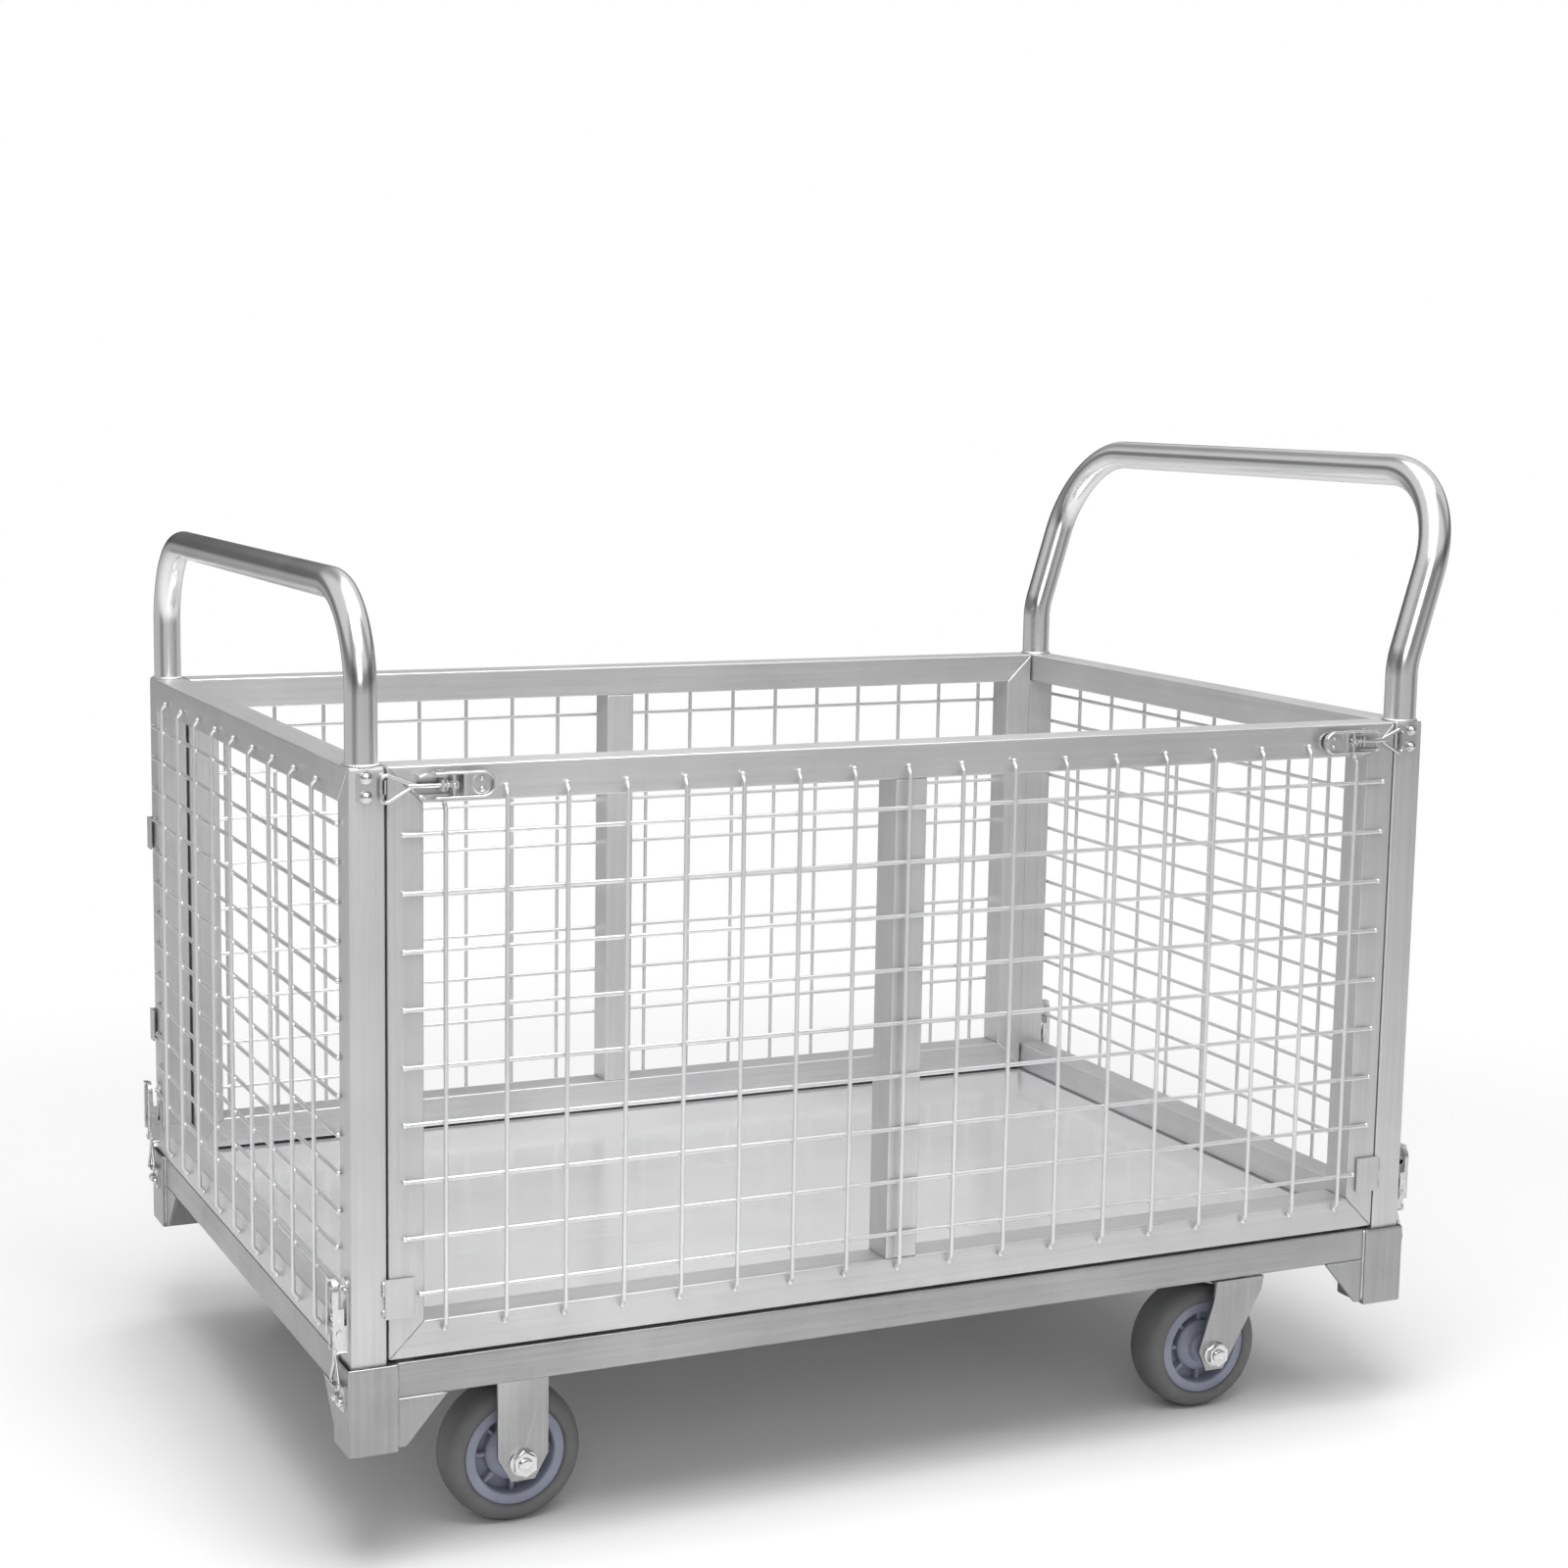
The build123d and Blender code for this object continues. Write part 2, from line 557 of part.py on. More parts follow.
def all_nodes():
    nodes = dict(base_nodes())
    nodes.update(end_panel("left", -1))
    nodes.update(end_panel("right", 1))
    nodes.update(handle_nodes())
    for side, sy in (("front", -1), ("back", 1)):
        nodes.update(side_panel(side, sy))
    nodes.update(clip_nodes())
    nodes.update(latch_nodes())
    nodes.update(caster_nodes())
    return nodes


def shift_of(nodes):
    """Move that puts the origin under the middle of everything, on the floor."""
    boxes = [s.bounding_box() for solids in nodes.values() for s in solids]
    lo_x, hi_x = min(b.min.X for b in boxes), max(b.max.X for b in boxes)
    lo_y, hi_y = min(b.min.Y for b in boxes), max(b.max.Y for b in boxes)
    return -(lo_x + hi_x) / 2, -(lo_y + hi_y) / 2, FLOOR_DROP


os.makedirs("parts", exist_ok=True)
NODES = all_nodes()
SHIFT = shift_of(NODES)
for name, solids in NODES.items():
    moved = [Pos(*SHIFT) * s for s in solids]
    shape = moved[0] if len(moved) == 1 else Compound(children=moved)
    export_step(shape, f"parts/{name}.step")
print(len(NODES), "nodes, shift", [round(v, 3) for v in SHIFT])
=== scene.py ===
import json
import math

import bmesh
import bpy
from mathutils import Matrix, Vector


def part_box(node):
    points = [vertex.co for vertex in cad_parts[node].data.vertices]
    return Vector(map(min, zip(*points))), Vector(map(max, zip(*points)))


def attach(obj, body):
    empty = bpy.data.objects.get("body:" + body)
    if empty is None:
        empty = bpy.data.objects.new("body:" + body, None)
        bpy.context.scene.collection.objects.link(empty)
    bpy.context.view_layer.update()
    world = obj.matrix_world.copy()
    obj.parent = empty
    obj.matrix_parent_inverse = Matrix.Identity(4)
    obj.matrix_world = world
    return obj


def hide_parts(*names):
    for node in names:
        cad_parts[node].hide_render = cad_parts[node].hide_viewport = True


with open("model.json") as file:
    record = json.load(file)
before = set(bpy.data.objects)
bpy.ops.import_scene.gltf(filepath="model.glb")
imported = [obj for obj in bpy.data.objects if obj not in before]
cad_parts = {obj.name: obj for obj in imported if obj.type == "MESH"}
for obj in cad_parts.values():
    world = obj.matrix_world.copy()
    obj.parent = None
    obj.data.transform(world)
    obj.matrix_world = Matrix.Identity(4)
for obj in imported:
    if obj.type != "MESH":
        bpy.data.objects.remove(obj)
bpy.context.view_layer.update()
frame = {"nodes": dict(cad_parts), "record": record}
NODES = frame["nodes"]
SLOT_OF = {s["node"]: s["material_slot"] for s in frame["record"]["subparts"]}

# ---- sizes read from the frame --------------------------------------------
LEG_LO, LEG_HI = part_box("corner_legs")
POSTS_L, POSTS_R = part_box("left_end_posts"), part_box("right_end_posts")
DECK_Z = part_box("deck_sheet")[1][2]
RIM_Z = POSTS_L[1][2]
TUBE_W = 0.032
LEG_W = 0.045
LEFT_X, RIGHT_X = POSTS_L[0][0], POSTS_R[1][0]     # outer faces of the end panels
FRONT_Y, BACK_Y = POSTS_L[0][1], POSTS_L[1][1]     # outer faces of the side panels


# ---- node helpers ----------------------------------------------------------
class Graph:
    """Short-hand for building a node tree."""

    def __init__(self, tree):
        self.tree = tree
        tree.nodes.clear()

    def add(self, kind, values=None, **props):
        node = self.tree.nodes.new(kind)
        for key, value in props.items():
            setattr(node, key, value)
        for key, value in (values or {}).items():
            if hasattr(value, "is_output"):
                self.tree.links.new(value, node.inputs[key])
            else:
                node.inputs[key].default_value = value
        return node

    def coords(self, scale):
        tc = self.add("ShaderNodeTexCoord")
        mp = self.add("ShaderNodeMapping", {"Vector": tc.outputs["Object"], "Scale": scale})
        return mp.outputs["Vector"]

    def noise(self, scale, detail=3.0, rough=0.5, stretch=(1, 1, 1)):
        n = self.add("ShaderNodeTexNoise", {
            "Vector": self.coords(stretch), "Scale": scale, "Detail": detail,
            "Roughness": rough})
        return n.outputs["Fac"]

    def span(self, value, lo, hi, from_lo=0.0, from_hi=1.0):
        n = self.add("ShaderNodeMapRange", {
            "Value": value, "From Min": from_lo, "From Max": from_hi,
            "To Min": lo, "To Max": hi})
        return n.outputs["Result"]

    def math(self, op, a, b=0.0):
        n = self.add("ShaderNodeMath", {0: a, 1: b}, operation=op)
        return n.outputs[0]

    def mix(self, fac, a, b, blend="MIX"):
        n = self.add("ShaderNodeMix", data_type="RGBA", blend_type=blend)
        for sock, value in ((n.inputs[0], fac), (n.inputs[6], a), (n.inputs[7], b)):
            if hasattr(value, "is_output"):
                self.tree.links.new(value, sock)
            else:
                sock.default_value = value
        return n.outputs[2]

    def bump(self, height, strength, distance, normal=None):
        values = {"Height": height, "Strength": strength, "Distance": distance}
        if normal is not None:
            values["Normal"] = normal
        return self.add("ShaderNodeBump", values).outputs["Normal"]


def rgb(value, tint=(1, 1, 1)):
    return tuple(value * t for t in tint) + (1.0,)


def new_material(name):
    mat = bpy.data.materials.new(name)
    mat.use_nodes = True
    return mat, Graph(mat.node_tree)


def finish_material(graph, values):
    bsdf = graph.add("ShaderNodeBsdfPrincipled", values)
    out = graph.add("ShaderNodeOutputMaterial")
    graph.tree.links.new(bsdf.outputs[0], out.inputs[0])


STRETCH = {"x": (0.012, 1, 1), "y": (1, 0.012, 1), "z": (1, 1, 0.012)}


STEEL_TINT = (1, 1, 1.008)


def steel(name, base, rough, axis, grain=1.0, metallic=1.0):
    """Brushed steel: fine lines along one axis, cloudy patches, a few smudges, and sharp edges made
    lighter for rubbed wear and a painted edge highlight.
    """
    mat, g = new_material(name)
    lines = g.noise(1400.0, 2.0, 0.6, STRETCH[axis])
    broad = g.noise(260.0, 2.0, 0.6, STRETCH[axis])
    cloud = g.noise(5.0, 4.0, 0.55)
    smudge = g.span(g.noise(22.0, 5.0, 0.6), 0.0, 1.0, 0.56, 0.72)
    tone = g.math("ADD", g.span(cloud, -0.05, 0.05, 0.3, 0.7),
                  g.math("ADD", g.span(lines, -0.03 * grain, 0.03 * grain, 0.25, 0.75),
                         g.span(broad, -0.03 * grain, 0.03 * grain, 0.25, 0.75)))
    # sharp edges lightened: rubbed wear plus a painted highlight along the edges
    edge_wear_and_highlight = g.span(g.add("ShaderNodeNewGeometry").outputs["Pointiness"], 0.0, 0.10, 0.52, 0.60)
    level = g.math("ADD", g.math("ADD", tone, base), edge_wear_and_highlight)
    level = g.math("SUBTRACT", level, g.math("MULTIPLY", smudge, 0.02))
    colour = g.add("ShaderNodeCombineColor", {
        "Red": g.math("MULTIPLY", level, STEEL_TINT[0]),
        "Green": g.math("MULTIPLY", level, STEEL_TINT[1]),
        "Blue": g.math("MULTIPLY", level, STEEL_TINT[2])}).outputs[0]
    rough_map = g.math("ADD", g.span(lines, rough - 0.05 * grain, rough + 0.05 * grain, 0.25, 0.75),
                       g.math("MULTIPLY", smudge, 0.06))
    normal = g.bump(lines, 0.10 * grain, 0.0002)
    normal = g.bump(cloud, 0.12, 0.002, normal)
    finish_material(g, {"Base Color": colour, "Metallic": metallic, "Roughness": rough_map,
                        "Normal": normal})
    return mat


def chrome(name, base, rough):
    """Polished tube: faint drawing lines, light haze and tiny scuffs."""
    mat, g = new_material(name)
    haze = g.noise(9.0, 4.0, 0.6)
    scuff = g.span(g.noise(420.0, 3.0, 0.7), 0.0, 1.0, 0.62, 0.72)
    level = g.span(haze, base - 0.02, base + 0.02, 0.3, 0.7)
    colour = g.add("ShaderNodeCombineColor", {
        "Red": level, "Green": level, "Blue": g.math("MULTIPLY", level, 1.01)}).outputs[0]
    rough_map = g.math("ADD", g.span(haze, rough, rough + 0.05, 0.35, 0.7),
                       g.math("MULTIPLY", scuff, 0.03))
    normal = g.bump(g.noise(60.0, 2.0), 0.03, 0.001)
    finish_material(g, {"Base Color": colour, "Metallic": 1.0, "Roughness": rough_map,
                        "Normal": normal})
    return mat


def weld_metal():
    """Weld bead: fine scale over warm and cool patches."""
    mat, g = new_material("weld_metal")
    scale = g.noise(500.0, 4.0, 0.7)
    patch = g.noise(40.0, 3.0)
    base = g.mix(g.span(patch, 0, 1, 0.4, 0.7), rgb(0.60, (1, 0.985, 0.96)),
                 rgb(0.5, (0.98, 1, 1.04)))
    finish_material(g, {"Base Color": base, "Metallic": 1.0,
                        "Roughness": g.span(scale, 0.28, 0.5),
                        "Normal": g.bump(scale, 0.3, 0.0005)})
    return mat


def rubber():
    """Grey tyre: mould texture, scuffs and a little dust."""
    mat, g = new_material("tyre_grey")
    grain = g.noise(900.0, 3.0, 0.6)
    patch = g.noise(28.0, 5.0, 0.6)
    dust = g.span(g.noise(70.0, 6.0, 0.7), 0.0, 0.35, 0.55, 0.8)
    colour = g.mix(g.span(patch, 0, 1, 0.35, 0.65), rgb(0.128, (0.99, 1.0, 1.01)),
                   rgb(0.150, (0.99, 1.0, 1.0)))
    colour = g.mix(dust, colour, rgb(0.22, (1, 0.99, 0.97)))
    normal = g.bump(grain, 0.12, 0.0003)
    normal = g.bump(patch, 0.10, 0.001, normal)
    finish_material(g, {"Base Color": colour, "Roughness": g.span(patch, 0.5, 0.66),
                        "Normal": normal, "Specular IOR Level": 0.4})
    return mat


def core_plastic():
    """Moulded blue-grey plastic of the wheel cores."""
    mat, g = new_material("core_blue_grey")
    grain = g.noise(700.0, 3.0, 0.6)
    patch = g.noise(35.0, 4.0, 0.6)
    colour = g.mix(g.span(patch, 0, 1, 0.35, 0.65), (0.245, 0.262, 0.335, 1),
                   (0.285, 0.303, 0.378, 1))
    finish_material(g, {"Base Color": colour, "Roughness": g.span(patch, 0.34, 0.46),
                        "Normal": g.bump(grain, 0.06, 0.0003)})
    return mat


FLOOR_HALF = 3.2
FLOOR_GAP = 0.0002              # keeps the floor off the tyres' lowest points
SWEEP_FROM, SWEEP_TO = 0.9, 2.0     # distances over which the floor turns white


def floor_material():
    """Plain pale studio floor that runs out into a white sweep."""
    mat, g = new_material("floor_pale")
    tone = g.span(g.noise(2.0, 2.0), 0.74, 0.755)
    colour = g.add("ShaderNodeCombineColor", {"Red": tone, "Green": tone, "Blue": tone}).outputs[0]
    near = g.add("ShaderNodeBsdfPrincipled", {
        "Base Color": colour, "Roughness": 0.7, "Specular IOR Level": 0.1})
    white = g.add("ShaderNodeEmission", {"Color": (1, 1, 1, 1), "Strength": 1.0})
    parts = g.add("ShaderNodeSeparateXYZ", {"Vector": g.coords((1, 1, 1))})
    x, y = parts.outputs["X"], parts.outputs["Y"]
    away = g.math("SQRT", g.math("ADD", g.math("MULTIPLY", x, x), g.math("MULTIPLY", y, y)))
    fac = g.add("ShaderNodeMapRange", {"Value": away, "From Min": SWEEP_FROM, "From Max": SWEEP_TO},
                interpolation_type="SMOOTHSTEP").outputs["Result"]
    seen = g.add("ShaderNodeLightPath").outputs["Is Camera Ray"]
    both = g.add("ShaderNodeMixShader", {0: g.math("MULTIPLY", fac, seen), 1: near.outputs[0],
                                         2: white.outputs[0]})
    out = g.add("ShaderNodeOutputMaterial")
    g.tree.links.new(both.outputs[0], out.inputs[0])
    return mat


MATS = {f"frame_{a}": steel(f"frame_steel_{a}", 0.55, 0.42, a, metallic=0.8) for a in "xyz"}
# base steel: a darker copy of the frame steel, painted shade for the lower frame's legs, beams,
# crossbars and gussets
for a in "xyz":
    MATS["base_" + a] = steel(f"base_steel_{a}", 0.34, 0.40, a, metallic=0.85)
# deck steel: lighter than the frame steel, painted light for the deck's lit top face
MATS["deck"] = steel("deck_steel", 0.88, 0.17, "x", grain=0.8, metallic=0.70)
MATS["wire"] = steel("wire_steel", 0.70, 0.34, "z", grain=0.5, metallic=0.8)
MATS["latch"] = steel("latch_steel", 0.60, 0.30, "z", grain=0.7)
MATS["caster"] = steel("caster_steel", 0.34, 0.32, "z", grain=0.8)
MATS["fastener"] = chrome("fastener_bright", 0.66, 0.14)
MATS["handle"] = chrome("handle_chrome", 0.78, 0.18)
MATS["weld"] = weld_metal()
MATS["tyre"] = rubber()
MATS["core"] = core_plastic()

SLOT_MAT = {"deck_steel": "deck", "mesh_wire": "wire", "handle_chrome": "handle",
            "latch_steel": "latch", "caster_steel": "caster", "fastener": "fastener",
            "tyre_tread": "tyre", "wheel_core": "core"}


def frame_axis(node):
    """Direction in which a frame tube's steel is brushed."""
    if "rails" in node and "panel" in node or node == "base_side_beams":
        return "x"
    if "rails" in node or node in ("base_end_beams", "base_crossbars"):
        return "y"
    return "z"


for name, obj in NODES.items():
    slot = SLOT_OF[name]
    part = "base_" if name.startswith(("base_", "corner", "leg_")) else "frame_"
    mat = MATS[SLOT_MAT[slot]] if slot in SLOT_MAT else MATS[part + frame_axis(name)]
    obj.data.materials.clear()
    obj.data.materials.append(mat)

# ---- softened edges on the sheet and tube work: radius by the name's ending ----
ROUND = {"rails": 0.0016, "uprights": 0.0016, "posts": 0.0022, "beams": 0.002, "legs": 0.002,
         "gussets": 0.0006, "crossbars": 0.0015, "clips": 0.0006, "hooks": 0.0005,
         "mount_plates": 0.0008, "lever": 0.0004, "keepers": 0.0004, "latch_plates": 0.0003,
         "forks": 0.0007, "fork": 0.0007, "axle": 0.0005, "axles": 0.0005, "bolts": 0.0005,
         "deck_sheet": 0.0004}
for name, obj in NODES.items():
    widths = [w for key, w in ROUND.items() if name.endswith(key)]
    if not widths:
        continue
    weld = obj.modifiers.new("merge", "WELD")
    weld.merge_threshold = 1e-6
    if name.endswith(("fork", "forks")):
        flat = obj.modifiers.new("flat", "DECIMATE")
        flat.decimate_type = "DISSOLVE"
        flat.angle_limit = math.radians(0.5)
    bevel = obj.modifiers.new("round", "BEVEL")
    bevel.width = widths[0]
    bevel.segments = 3
    bevel.limit_method = "ANGLE"
    bevel.angle_limit = math.radians(40)
    bevel.use_clamp_overlap = True
    normals = obj.modifiers.new("even", "WEIGHTED_NORMAL")
    normals.keep_sharp = False


# ---- mesh helpers ----------------------------------------------------------
SHARP_FROM = math.radians(50)


def mesh_object(name, bm, mat, body):
    """Object from a bmesh, smooth up to SHARP_FROM, riding on a body."""
    mesh = bpy.data.meshes.new(name)
    bmesh.ops.recalc_face_normals(bm, faces=bm.faces)
    bm.to_mesh(mesh)
    bm.free()
    mesh.shade_smooth()
    mesh.set_sharp_from_angle(angle=SHARP_FROM)
    mesh.materials.append(mat)
    obj = bpy.data.objects.new(name, mesh)
    bpy.context.scene.collection.objects.link(obj)
    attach(obj, body)
    return obj


def ring_frames(points, closed=False):
    """Tangent and two normals at each point, carried along without twist."""
    n = len(points)
    frames, up = [], None
    for i, p in enumerate(points):
        a = points[i - 1] if i or closed else p
        b = points[(i + 1) % n] if i < n - 1 or closed else p
        t = (b - a).normalized()
        if up is None:
            seed = Vector((0, 0, 1)) if abs(t.z) < 0.9 else Vector((1, 0, 0))
            up = seed - t * seed.dot(t)
        up = (up - t * up.dot(t)).normalized()
        frames.append((p, up.copy(), t.cross(up)))
    return frames


def tube_into(bm, points, radius, sides=16, closed=False):
    """Tube along points; radius is a number or a function of the point's index."""
    rings = []
    for i, (p, u, v) in enumerate(ring_frames(points, closed)):
        r = radius(i) if callable(radius) else radius
        rings.append([bm.verts.new(p + r * (math.cos(a) * u + math.sin(a) * v))
                      for a in (2 * math.pi * k / sides for k in range(sides))])
    pairs = list(zip(rings, rings[1:])) + ([(rings[-1], rings[0])] if closed else [])
    for a, b in pairs:
        for k in range(sides):
            j = (k + 1) % sides
            bm.faces.new((a[k], a[j], b[j], b[k]))
    if not closed:
        bm.faces.new(rings[0])
        bm.faces.new(rings[-1])


def arc_path(points, radii, steps=20):
    """Straight runs with round corners, as a list of points."""
    pts = [Vector(p) for p in points]
    out = [pts[0]]
    for before, corner, after, r in zip(pts, pts[1:], pts[2:], radii):
        a, b = (before - corner).normalized(), (after - corner).normalized()
        half = a.angle(b) / 2
        cut = r / math.tan(half)
        centre = corner + (a + b).normalized() * (r / math.sin(half))
        start = corner + a * cut - centre
        normal = start.cross(corner + b * cut - centre).normalized()
        turn = math.pi - 2 * half
        for k in range(steps + 1):
            out.append(centre + Matrix.Rotation(turn * k / steps, 3, normal) @ start)
    out.append(pts[-1])
    return out


# ---- handles ---------------------------------------------------------------
def handle(node, radius, points, radii):
    """Bent tube that stands in for a handle's CAD node."""
    bm = bmesh.new()
    tube_into(bm, arc_path(points, radii), radius, sides=40)
    obj = mesh_object(node + "_tube", bm, MATS["handle"], "cart")
    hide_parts(node)


post_y = BACK_Y - TUBE_W / 2
low_x, tall_x = LEFT_X + TUBE_W / 2, RIGHT_X - TUBE_W / 2
LOW_R, LOW_BEND = 0.014, 0.088
TALL_R, TALL_BEND = 0.0159, 0.100
TALL_STRAIGHT, TALL_LEAN, LEAN_BEND = 0.057, 0.056, 0.090
low_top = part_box("low_handle")[1][2] - LOW_R
handle("low_handle", LOW_R,
       [(low_x, -post_y, RIM_Z), (low_x, -post_y, low_top), (low_x, post_y, low_top),
        (low_x, post_y, RIM_Z)], [LOW_BEND] * 2)
tall_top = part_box("tall_handle")[1][2] - TALL_R
knee = RIM_Z + TALL_STRAIGHT
top_x = tall_x + TALL_LEAN
handle("tall_handle", TALL_R,
       [(tall_x, -post_y, RIM_Z), (tall_x, -post_y, knee), (top_x, -post_y, tall_top),
        (top_x, post_y, tall_top), (tall_x, post_y, knee), (tall_x, post_y, RIM_Z)],
       [LEAN_BEND, TALL_BEND, TALL_BEND, LEAN_BEND])


# ---- welds -----------------------------------------------------------------
def bead(bm, points, radius, pitch=0.0022, closed=False):
    """Rippled weld bead along a line."""
    dense = []
    total = len(points) if closed else len(points) - 1
    for i in range(total):
        a, b = Vector(points[i]), Vector(points[(i + 1) % len(points)])
        steps = max(1, int((b - a).length / (pitch / 4)))
        dense += [a.lerp(b, k / steps) for k in range(steps)]
    if not closed:
        dense.append(Vector(points[-1]))

    def ripple(i):
        wave = abs(math.sin(math.pi * i / 4))
        ends = 1.0 if closed else min(1.0, (i + 1) / 4, (len(dense) - i) / 4)
        return radius * (0.78 + 0.22 * wave) * ends
    tube_into(bm, dense, ripple, sides=10, closed=closed)


def circle(x, y, z, r, n=40):
    """Points round a level circle."""
    return [(x + r * math.cos(2 * math.pi * k / n), y + r * math.sin(2 * math.pi * k / n), z)
            for k in range(n)]


bm = bmesh.new()
for hx, r in ((low_x, LOW_R), (tall_x, TALL_R - 0.0012)):
    for hy in (-post_y, post_y):
        bead(bm, circle(hx, hy, RIM_Z + 0.0004, r + 0.0006), 0.0022, closed=True)
mesh_object("handle_welds", bm, MATS["weld"], "cart")

bm = bmesh.new()
LEG_SEAM = (-0.074, -0.001)      # heights of the legs' upright beads under the deck
GUSSET_SEAM, GUSSET_RUN = -0.0325, 0.044
leg_in_x = (LEG_LO[0] + LEG_W, LEG_HI[0] - LEG_W)
leg_in_y = (LEG_LO[1] + LEG_W, LEG_HI[1] - LEG_W)
for ix, x in enumerate(leg_in_x):
    sx = (-1, 1)[ix]
    for iy, y in enumerate(leg_in_y):
        sy = (-1, 1)[iy]
        face_y, face_x = (FRONT_Y, BACK_Y)[iy], (LEFT_X, RIGHT_X)[ix]
        low, high = (DECK_Z + z for z in LEG_SEAM)
        seam = DECK_Z + GUSSET_SEAM
        bead(bm, [(x, face_y, low), (x, face_y, high)], 0.0019)
        bead(bm, [(face_x, y, low), (face_x, y, high)], 0.0019)
        bead(bm, [(x, face_y, seam), (x - sx * GUSSET_RUN, face_y, seam)], 0.0012)
        bead(bm, [(face_x, y, seam), (face_x, y - sy * GUSSET_RUN, seam)], 0.0012)
mesh_object("base_welds", bm, MATS["weld"], "cart")


# ---- wheels ----------------------------------------------------------------
def lathe(bm, profile, origin, segments=128, closed=False):
    """Ring surface round the Y axis through origin; profile holds (radius, y)."""
    rings = []
    for r, y in profile:
        rings.append([bm.verts.new((origin[0] + r * math.cos(a), origin[1] + y,
                                    origin[2] + r * math.sin(a)))
                      for a in (2 * math.pi * k / segments for k in range(segments))])
    pairs = list(zip(rings, rings[1:]))
    if closed:
        pairs.append((rings[-1], rings[0]))
    for a, b in pairs:
        for k in range(segments):
            j = (k + 1) % segments
            bm.faces.new((a[k], a[j], b[j], b[k]))


TYRE_HALF, CORE_R = 0.024, 0.0475
SHOULDER_R, TREAD_RISE = 0.0505, 0.0145
BEAD_R, BEAD_HALF = 0.0483, 0.0222      # where the tyre's side meets the core
SPOKES = 8


def tyre_outline():
    """Closed tyre section as (radius, y), from the shoulder over the crown."""
    side = []
    for k in range(13):
        a = math.pi / 2 * k / 12
        r = SHOULDER_R + TREAD_RISE * math.sin(a) ** 0.9
        y = TYRE_HALF * math.cos(a) ** 0.62
        side.append((r, y))
    lower = [(r, -y) for r, y in reversed(side)]
    wall = [(CORE_R, -0.0205), (CORE_R, 0.0205), (BEAD_R, BEAD_HALF)]
    return side + lower[1:] + [(BEAD_R, -BEAD_HALF)] + wall


def wheel(name, tyre_node, core_node, body):
    """Tyre skin and spoked core in place of a wheel's two CAD nodes."""
    lo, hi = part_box(tyre_node)
    c = [(a + b) / 2 for a, b in zip(lo, hi)]
    bm = bmesh.new()
    lathe(bm, tyre_outline(), c, closed=True)
    tyre = mesh_object(name + "_tyre_skin", bm, MATS["tyre"], body)
    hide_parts(tyre_node)
    bm = bmesh.new()
    rim = [(0.0370, -0.0035), (0.0372, -0.0195), (0.0385, -0.0212), (0.0460, -0.0212),
           (0.0474, -0.0204), (0.0474, 0.0204), (0.0460, 0.0212), (0.0385, 0.0212),
           (0.0372, 0.0195), (0.0370, 0.0035)]
    hub = [(0.0255, 0.0035), (0.0262, 0.0125), (0.0245, 0.0150), (0.0205, 0.0168),
           (0.0165, 0.0185), (0.0152, 0.0240), (0.0140, 0.0249), (0.0110, 0.0250),
           (0.0110, 0.0368), (0.0061, 0.0368)]
    outline = rim + hub + [(r, -y) for r, y in reversed(hub)]
    lathe(bm, outline, c, closed=True)
    for k in range(SPOKES):
        rot = Matrix.Translation(c) @ Matrix.Rotation(2 * math.pi / SPOKES * k, 4, "Y")
        box = bmesh.ops.create_cube(bm, size=1.0, matrix=rot @ Matrix.Translation(
            (0.0315, 0, 0)) @ Matrix.Diagonal((0.0125, 0.024, 0.0042, 1)))
        edges = {e for v in box["verts"] for e in v.link_edges}
        bmesh.ops.bevel(bm, geom=list(edges), offset=0.0008, segments=2, affect="EDGES")
    core = mesh_object(name + "_core_body", bm, MATS["core"], body)
    mod = core.modifiers.new("edges", "BEVEL")
    mod.width = 0.0005
    mod.segments = 2
    mod.limit_method = "ANGLE"
    mod.angle_limit = math.radians(35)
    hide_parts(core_node)


for side in ("front", "back"):
    for end in ("left", "right"):
        wheel(f"{side}_{end}", f"{side}_{end}_tyre", f"{side}_{end}_core", f"{side}_{end}_wheel")


# ---- small metal details ----------------------------------------------------
# In a latch's frame u runs from the keeper to the lever's tip, v across and w out of the face.
LATCH_INSET = 0.015             # top latches' keeper line, in from the end panel's face
END_LATCH_DROP = 0.031          # end latches' keeper line, under the deck's top
END_KEEPER_RISE = 0.004
KEEPER_T, NUT_V = 0.002, 0.008
BAIL_PIN_U = 0.074
TAIL_U, TAIL_R = 0.0986, 0.0103     # rounded end of the lever's rim
RIM_FROM_U, RIM_W = 0.057, 0.0134
RIVETS_U = 0.0985
EAR_U, EAR_V = 0.0440, 0.0081


def box_into(bm, lo, hi, edge=0.0003):
    """Box between two corners with softened edges."""
    centre = [(a + b) / 2 for a, b in zip(lo, hi)]
    size = [abs(b - a) for a, b in zip(lo, hi)]
    made = bmesh.ops.create_cube(
        bm, size=1.0, matrix=Matrix.Translation(centre) @ Matrix.Diagonal((*size, 1)))
    edges = {e for v in made["verts"] for e in v.link_edges}
    bmesh.ops.bevel(bm, geom=list(edges), offset=edge, segments=2, affect="EDGES")


def turned(bm, u, v, profile, sides=28):
    """Round piece about the w axis; profile holds (radius, w) from one end to the other."""
    rings = [[bm.verts.new((u + r * math.cos(a), v + r * math.sin(a), w))
              for a in (2 * math.pi * k / sides for k in range(sides))] for r, w in profile]
    for a, b in zip(rings, rings[1:]):
        for k in range(sides):
            j = (k + 1) % sides
            bm.faces.new((a[k], a[j], b[j], b[k]))
    bm.faces.new(rings[0])
    bm.faces.new(rings[-1])


def dome(r, w0, w1):
    """Profile of a domed rivet head."""
    rise = w1 - w0
    return [(r, w0)] + [(r * math.cos(t), w0 + rise * math.sin(t))
                        for t in (math.pi / 2 * k / 6 for k in range(1, 6))] + [(r * 0.1, w1)]


